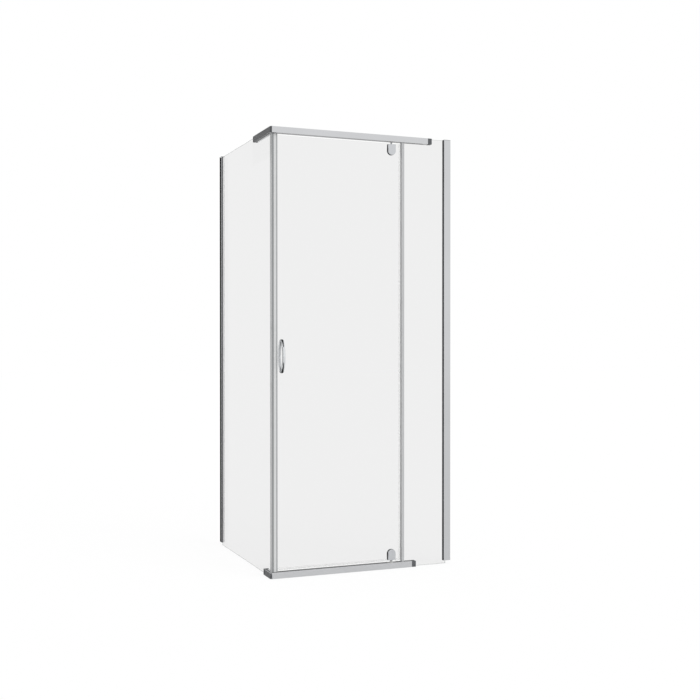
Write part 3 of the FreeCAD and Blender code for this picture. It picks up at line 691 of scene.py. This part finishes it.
def cap_mesh(node, rail, sizes):
    """A moulded block on a rail's end, slotted for the pane, with softened edges."""
    low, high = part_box(node)
    rail_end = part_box(rail)[1]
    on_side = high.y > high.x
    upside_down = low.z > cad_box[1][2] / 2
    start = rail_end.y if on_side else rail_end.x
    end = high.y if on_side else high.x
    half = (high.x - low.x) / 2 if on_side else (high.y - low.y) / 2
    tall = high.z - low.z
    slot, floor = sizes.cap_slot / 2, sizes.cap_floor
    end_segments, edge_segments = 3, 4
    shortest_edge = 1 * MM

    bm = bmesh.new()
    outline = (
        (-half, 0),
        (half, 0),
        (half, tall),
        (slot, tall),
        (slot, floor),
        (-slot, floor),
        (-slot, tall),
        (-half, tall),
    )
    section = bm.faces.new([bm.verts.new((start, across, up)) for across, up in outline])
    grown = bmesh.ops.extrude_face_region(bm, geom=[section])["geom"]
    bmesh.ops.translate(bm, verts=new_verts(grown), vec=(end - start, 0, 0))
    far = [e for e in bm.edges if all(abs(v.co.x - end) < PLANE_DISTANCE for v in e.verts)]
    bmesh.ops.bevel(
        bm, geom=far, offset=sizes.cap_end_edge, affect="EDGES", segments=end_segments, profile=0.5,
        material=-1, clamp_overlap=True,
    )
    corners = [
        e for e in bm.edges
        if all(abs(abs(v.co.y) - half) < PLANE_DISTANCE for v in e.verts)
        and all(min(v.co.z, tall - v.co.z) < PLANE_DISTANCE for v in e.verts)
        and abs(e.verts[0].co.x - e.verts[1].co.x) > shortest_edge
    ]
    bmesh.ops.bevel(
        bm, geom=corners, offset=sizes.cap_edge, affect="EDGES", segments=edge_segments, profile=0.5,
        material=-1, clamp_overlap=True,
    )
    if upside_down:
        bmesh.ops.scale(bm, verts=bm.verts, vec=(1, 1, -1))
        bmesh.ops.translate(bm, verts=bm.verts, vec=(0, 0, tall))
    bmesh.ops.translate(bm, verts=bm.verts, vec=(0, 0, low.z))
    if on_side:
        swap_x_and_y = Matrix(((0, 1, 0, 0), (1, 0, 0, 0), (0, 0, 1, 0), (0, 0, 0, 1)))
        bmesh.ops.transform(bm, matrix=swap_x_and_y, verts=bm.verts)
    return bm


class SHOWER_OT_rails(bpy.types.Operator):
    """Finishes the sill, the header and the strips that close their slots"""

    bl_idname = "shower_screen.rails"
    bl_label = "Rails"

    def execute(self, context):
        finishes = context.scene.shower_finishes
        along_front = anodised_aluminium(finishes.aluminium, "x")
        along_side = anodised_aluminium(finishes.aluminium, "y")
        finish_nodes(along_front, "sill_front", "header_front", "sill_infill_strips", "header_infill_strips")
        finish_nodes(along_side, "sill_return", "header_return")
        return {"FINISHED"}


class SHOWER_OT_caps(bpy.types.Operator):
    """Moulds the rails' end caps and finishes the other dark plastic"""

    bl_idname = "shower_screen.caps"
    bl_label = "Caps and corner keys"

    def execute(self, context):
        plastic = moulded_abs(context.scene.shower_finishes.cap)
        finish_nodes(plastic, "sill_corner_keys", "header_corner_keys", "channel_top_caps")
        sizes = context.scene.shower_sizes
        for rail in ("sill_front", "sill_return", "header_front", "header_return"):
            node = rail + "_cap"
            add_piece(rail + "_moulded_cap", cap_mesh(node, rail, sizes), node, plastic)
        return {"FINISHED"}


class SHOWER_OT_channels(bpy.types.Operator):
    """Finishes the wall channels"""

    bl_idname = "shower_screen.channels"
    bl_label = "Wall channels"

    def execute(self, context):
        upright = anodised_aluminium(context.scene.shower_finishes.aluminium, "z")
        finish_nodes(upright, "front_wall_channel", "side_wall_channel")
        return {"FINISHED"}


class SHOWER_OT_glass(bpy.types.Operator):
    """Finishes the door leaf and the two fixed panes"""

    bl_idname = "shower_screen.glass"
    bl_label = "Glass"

    def execute(self, context):
        finishes = context.scene.shower_finishes
        clear, depth = finishes.glass, finishes.glass_depth
        door = toughened_glass("toughened_glass_door", clear, finishes.door_edge, depth, "y", UNBENT_IOR)
        inline = toughened_glass("toughened_glass_inline", clear, finishes.pane_edge, depth, "y", GLASS_IOR)
        side = toughened_glass("toughened_glass_side", clear, finishes.pane_edge, depth, "x", GLASS_IOR)
        finish_nodes(door, "door_leaf")
        finish_nodes(inline, "inline_pane")
        finish_nodes(side, "side_pane")
        return {"FINISHED"}


class SHOWER_OT_rubber(bpy.types.Operator):
    """Finishes the glazing strips, the pads under the panes and the pads of the clamps"""

    bl_idname = "shower_screen.rubber"
    bl_label = "Glazing rubber"

    def execute(self, context):
        finishes = context.scene.shower_finishes
        rubber = extruded_rubber("epdm_rubber", finishes.rubber)
        finish_nodes(rubber, "front_channel_gaskets", "setting_pads", "clamp_pads")
        wedge = grey_pvc("glazing_pvc", finishes.glazing, finishes.glazing, "x", 0)
        finish_nodes(wedge, "sill_gaskets", "header_gaskets")
        # The side pane's middle lies at 0, so its outer strip takes the first shade and its inner the second,
        # a near-white of painted light against the channel's shade.
        pair = grey_pvc("side_glazing_pvc", finishes.side_rubber, finishes.side_glazing_painted_light, "x", 0)
        finish_nodes(pair, "side_channel_gaskets")
        return {"FINISHED"}


class SHOWER_OT_seals(bpy.types.Operator):
    """Finishes the upright strips, their magnets and every clear plastic piece"""

    bl_idname = "shower_screen.seals"
    bl_label = "Seals"

    def execute(self, context):
        finishes = context.scene.shower_finishes
        door_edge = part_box("door_leaf")[0].x
        strike_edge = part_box("strike_strip")[0].y + STRIKE_NOSE
        jamb_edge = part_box("jamb_strip")[0].x + JAMB_NOSE
        # The strike's darker nose is painted shade.
        strike = grey_pvc("strike_pvc", finishes.strike_painted_shade, finishes.strike, "y", strike_edge)
        closing = grey_pvc("closing_pvc", finishes.closing_head, finishes.closing_legs, "x", door_edge)
        # The jamb's lighter nose is painted light.
        jamb = grey_pvc("jamb_pvc", finishes.jamb_painted_light, finishes.jamb, "x", jamb_edge)
        clear = clear_pvc(finishes.clear_seal)
        magnet = extruded_rubber("magnetic_rubber", finishes.magnet)
        finish_nodes(strike, "strike_strip")
        finish_nodes(closing, "closing_strip")
        finish_nodes(jamb, "jamb_strip")
        finish_nodes(clear, "tail_edge_seal", "drip_seals")
        finish_nodes(clear, "setting_blocks", "handle_washers", "handle_sleeves")
        finish_nodes(magnet, "strike_magnet", "closing_magnet")
        return {"FINISHED"}


class SHOWER_OT_pivots(bpy.types.Operator):
    """Finishes the pivots, the clamp plates and every screw"""

    bl_idname = "shower_screen.pivots"
    bl_label = "Pivots and fixings"

    def execute(self, context):
        finishes = context.scene.shower_finishes
        nylon = machined_nylon(finishes.nylon)
        steel = turned_stainless(finishes.stainless)
        chrome = polished_chrome("plate_chrome", finishes.chrome, PLATE_POLISH)
        finish_nodes(nylon, "lower_pivot_block", "upper_pivot_block", "thrust_washer")
        finish_nodes(steel, "lower_pivot_spindle", "upper_pivot_spindle", "pivot_block_screws")
        finish_nodes(steel, "corner_key_screws", "clamp_screws", "handle_studs", "handle_grub_screws")
        finish_nodes(chrome, "lower_clamp_front", "lower_clamp_rear", "upper_clamp_front", "upper_clamp_rear")
        return {"FINISHED"}


class SHOWER_OT_handles(bpy.types.Operator):
    """Bends the outer and the inner bow handle"""

    bl_idname = "shower_screen.handles"
    bl_label = "Handles"

    def execute(self, context):
        chrome = polished_chrome("handle_chrome", context.scene.shower_finishes.handle_chrome, HANDLE_POLISH)
        sizes = context.scene.shower_sizes
        add_piece("outer_bow", bow_mesh("outer_bow_handle", sizes), "outer_bow_handle", chrome)
        add_piece("inner_bow", bow_mesh("inner_bow_handle", sizes), "inner_bow_handle", chrome)
        return {"FINISHED"}


def add_stage_plane(name, corner, side_a, side_b, material):
    """A flat rectangle from a corner along two sides, marked as stage."""
    corner, side_a, side_b = Vector(corner), Vector(side_a), Vector(side_b)
    corners = (corner, corner + side_a, corner + side_a + side_b, corner + side_b)
    bm = bmesh.new()
    bm.faces.new([bm.verts.new(place) for place in corners])
    mesh = bpy.data.meshes.new(name)
    bm.to_mesh(mesh)
    bm.free()
    mesh.materials.append(material)
    plane = bpy.data.objects.new(name, mesh)
    bpy.context.scene.collection.objects.link(plane)
    return plane


def studio_floor(colour):
    """A pale painted floor that takes the screen's soft shadow and shows white where nothing shades it."""
    material, tree = new_material("studio_floor")
    # To the camera the floor is mostly its own white, and what is left of it takes the shadow.
    own_white, shaded, mirrored = 0.87, 0.13, 0.55
    paint = add_node(tree, "ShaderNodeBsdfDiffuse", {"Color": rgba(colour)})
    shadow = add_node(tree, "ShaderNodeBsdfDiffuse", {"Color": (shaded, shaded, shaded, 1)})
    glow = add_node(tree, "ShaderNodeEmission", {"Color": WHITE, "Strength": own_white})
    white = add_node(tree, "ShaderNodeAddShader", {0: shadow.outputs[0], 1: glow.outputs[0]})
    floor = add_node(
        tree, "ShaderNodeMixShader", {0: seen_share(tree, mirrored), 1: paint.outputs[0], 2: white.outputs[0]}
    )
    add_node(tree, "ShaderNodeOutputMaterial", {"Surface": floor.outputs[0]})
    return material


def studio_surroundings(room_light):
    """An even light from all round, which the camera, glass and metal see as plain white."""
    world = bpy.data.worlds.new("studio_surroundings")
    world.use_nodes = True
    tree = world.node_tree
    tree.nodes.clear()
    room = add_node(tree, "ShaderNodeBackground", {"Color": WHITE, "Strength": room_light})
    shown = add_node(tree, "ShaderNodeBackground", {"Color": WHITE, "Strength": 1})
    both = add_node(
        tree, "ShaderNodeMixShader", {0: seen_share(tree, 1), 1: room.outputs[0], 2: shown.outputs[0]}
    )
    add_node(tree, "ShaderNodeOutputWorld", {"Surface": both.outputs[0]})
    return world


def painted_reflection_card(name, colour):
    """A glowing card that only reflections see: its colour is the tone that a mirror shows, painted into the
    metal as shade or as light.
    """
    material, tree = new_material(name)
    lit = add_node(tree, "ShaderNodeEmission", {"Color": rgba(colour), "Strength": 1})
    add_node(tree, "ShaderNodeOutputMaterial", {"Surface": lit.outputs[0]})
    return material


def card_places():
    """Each card's tone, one corner of it and its two sides from there, in metres."""
    low, high = Vector(cad_box[0]), Vector(cad_box[1])
    header_low, header_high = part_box("header_front")
    under_header, over_sill = header_low.z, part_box("sill_front")[1].z
    front_run = (header_high.x, 0, 0)
    # Two narrow cards stand a hair outside the side pane, one under the header and one over the sill.
    hair, rail_gap, narrow = 0.3 * MM, 0.2 * MM, 11.8 * MM
    strike_low, strike_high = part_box("strike_strip")
    beside_pane = (strike_low.x - hair, strike_high.y)
    # The sill's card lies just over the floor.
    skim = 0.6 * MM
    # The handles' cards stand round the height of the bows' middle.
    bow_middle, bow_end = 0.985, 0.128
    # Dark, grey and pale cards put painted shade into the metal's reflections, and the white card a painted
    # highlight.
    return {
        "header_card": ("grey", (low.x - 0.046, -0.05, under_header - 0.07), (0, 0.53, 0), (0, 0, 0.19)),
        "header_return_card": (
            "grey", (*beside_pane, under_header - rail_gap - narrow), (0, 0.24, 0), (0, 0, narrow),
        ),
        "header_front_card": ("pale", (0.03, 0.1, under_header - 0.042), front_run, (0, 0, 0.035)),
        "sill_card": ("grey", (low.x - 0.115, low.y, skim), (0.1145, 0, 0), (0, 0.34, 0)),
        "sill_return_card": ("grey", (*beside_pane, over_sill + rail_gap), (0, 0.08, 0), (0, 0, narrow)),
        "sill_front_card": ("grey", (0.045, 0.1, over_sill + 0.004), front_run, (0, 0, 0.043)),
        "channel_card": ("dark", (low.x - 0.026, high.y + 0.003, 0), (0.0288, 0, 0), (0, 0, high.z)),
        "outer_bow_card": ("pale", (0.026, -0.045, bow_middle - 0.045), (0, 0.035, 0), (0, 0, 0.09)),
        "inner_bow_card": ("white", (0.028, 0.005, bow_middle - 0.055), (0, 0.035, 0), (0, 0, 0.11)),
        "handle_upper_card": ("dark", (-0.05, -0.15, bow_middle + bow_end), (0.16, 0, 0), (0, 0.25, 0)),
        "handle_lower_card": ("dark", (-0.09, -0.24, bow_middle - bow_end), (0.2, 0, 0), (0, 0.34, 0)),
    }


class SHOWER_OT_stage(bpy.types.Operator):
    """Sets up the floor, the white surroundings, the lamp, the cards and the camera"""

    bl_idname = "shower_screen.stage"
    bl_label = "Studio"

    def execute(self, context):
        scene = context.scene
        studio = scene.shower_studio
        scene.view_settings.view_transform = "Standard"

        reach = 30
        floor = studio_floor(studio.floor)
        add_stage_plane("studio_floor", (-reach, -reach, 0), (2 * reach, 0, 0), (0, 2 * reach, 0), floor)
        scene.world = studio_surroundings(studio.room_light)

        # The lamp is wide, so that its shadows are soft, and shines down and back from over the front.
        lamp_width, lamp_place, shines_along = math.radians(50), (0, -3, 4), Vector((-0.15, 0.7, -0.7))
        lamp = bpy.data.lights.new("key_light", "SUN")
        lamp.angle = lamp_width
        lamp.energy = studio.key_light
        key = bpy.data.objects.new("key_light", lamp)
        key.location = lamp_place
        key.rotation_euler = shines_along.to_track_quat("-Z", "Y").to_euler()
        key.visible_glossy = False
        scene.collection.objects.link(key)

        # Glowing cards that only reflections see give the metal's faces and bends their tone and depth:
        # painted reflections, dark, grey and pale ones for painted shade and the white one for painted light.
        tones = {
            "dark": painted_reflection_card("dark_card", studio.dark_card),
            "grey": painted_reflection_card("grey_card", studio.grey_card),
            "pale": painted_reflection_card("pale_card", studio.pale_card),
            "white": painted_reflection_card("white_card", studio.white_card),
        }
        for name, (tone, corner, side_a, side_b) in card_places().items():
            card = add_stage_plane(name, corner, side_a, side_b, tones[tone])
            card.visible_camera = False
            card.visible_diffuse = False
            card.visible_transmission = False
            card.visible_shadow = False

        lens = bpy.data.cameras.new("photo_camera")
        lens.sensor_width = 36
        lens.lens = studio.camera_lens
        camera = bpy.data.objects.new("photo_camera", lens)
        camera.location = studio.camera_place
        camera.rotation_euler = (math.pi / 2 - studio.camera_dip, 0, -studio.camera_turn)
        scene.collection.objects.link(camera)
        scene.camera = camera
        return {"FINISHED"}


OPERATORS = (
    SHOWER_OT_rails,
    SHOWER_OT_caps,
    SHOWER_OT_channels,
    SHOWER_OT_glass,
    SHOWER_OT_rubber,
    SHOWER_OT_seals,
    SHOWER_OT_pivots,
    SHOWER_OT_handles,
    SHOWER_OT_stage,
)


class SHOWER_PT_screen(bpy.types.Panel):
    """The screen's pieces, finishes, sizes and studio"""

    bl_idname = "SHOWER_PT_screen"
    bl_label = "Shower screen"
    bl_space_type = "VIEW_3D"
    bl_region_type = "UI"
    bl_category = "Shower screen"

    def draw(self, context):
        for operator in OPERATORS:
            self.layout.operator(operator.bl_idname)
        scene = context.scene
        for group in (scene.shower_finishes, scene.shower_sizes, scene.shower_studio):
            box = self.layout.box()
            for name in group.__annotations__:
                box.prop(group, name)


CLASSES = (ScreenFinishes, ScreenSizes, ScreenStudio, *OPERATORS, SHOWER_PT_screen)


def register():
    for cls in CLASSES:
        bpy.utils.register_class(cls)
    bpy.types.Scene.shower_finishes = bpy.props.PointerProperty(type=ScreenFinishes)
    bpy.types.Scene.shower_sizes = bpy.props.PointerProperty(type=ScreenSizes)
    bpy.types.Scene.shower_studio = bpy.props.PointerProperty(type=ScreenStudio)


def unregister():
    del bpy.types.Scene.shower_studio
    del bpy.types.Scene.shower_sizes
    del bpy.types.Scene.shower_finishes
    for cls in reversed(CLASSES):
        bpy.utils.unregister_class(cls)


def main():
    register()
    bpy.ops.shower_screen.rails()
    bpy.ops.shower_screen.caps()
    bpy.ops.shower_screen.channels()
    bpy.ops.shower_screen.glass()
    bpy.ops.shower_screen.rubber()
    bpy.ops.shower_screen.seals()
    bpy.ops.shower_screen.pivots()
    bpy.ops.shower_screen.handles()
    bpy.ops.shower_screen.stage()


if __name__ == "__main__":
    main()
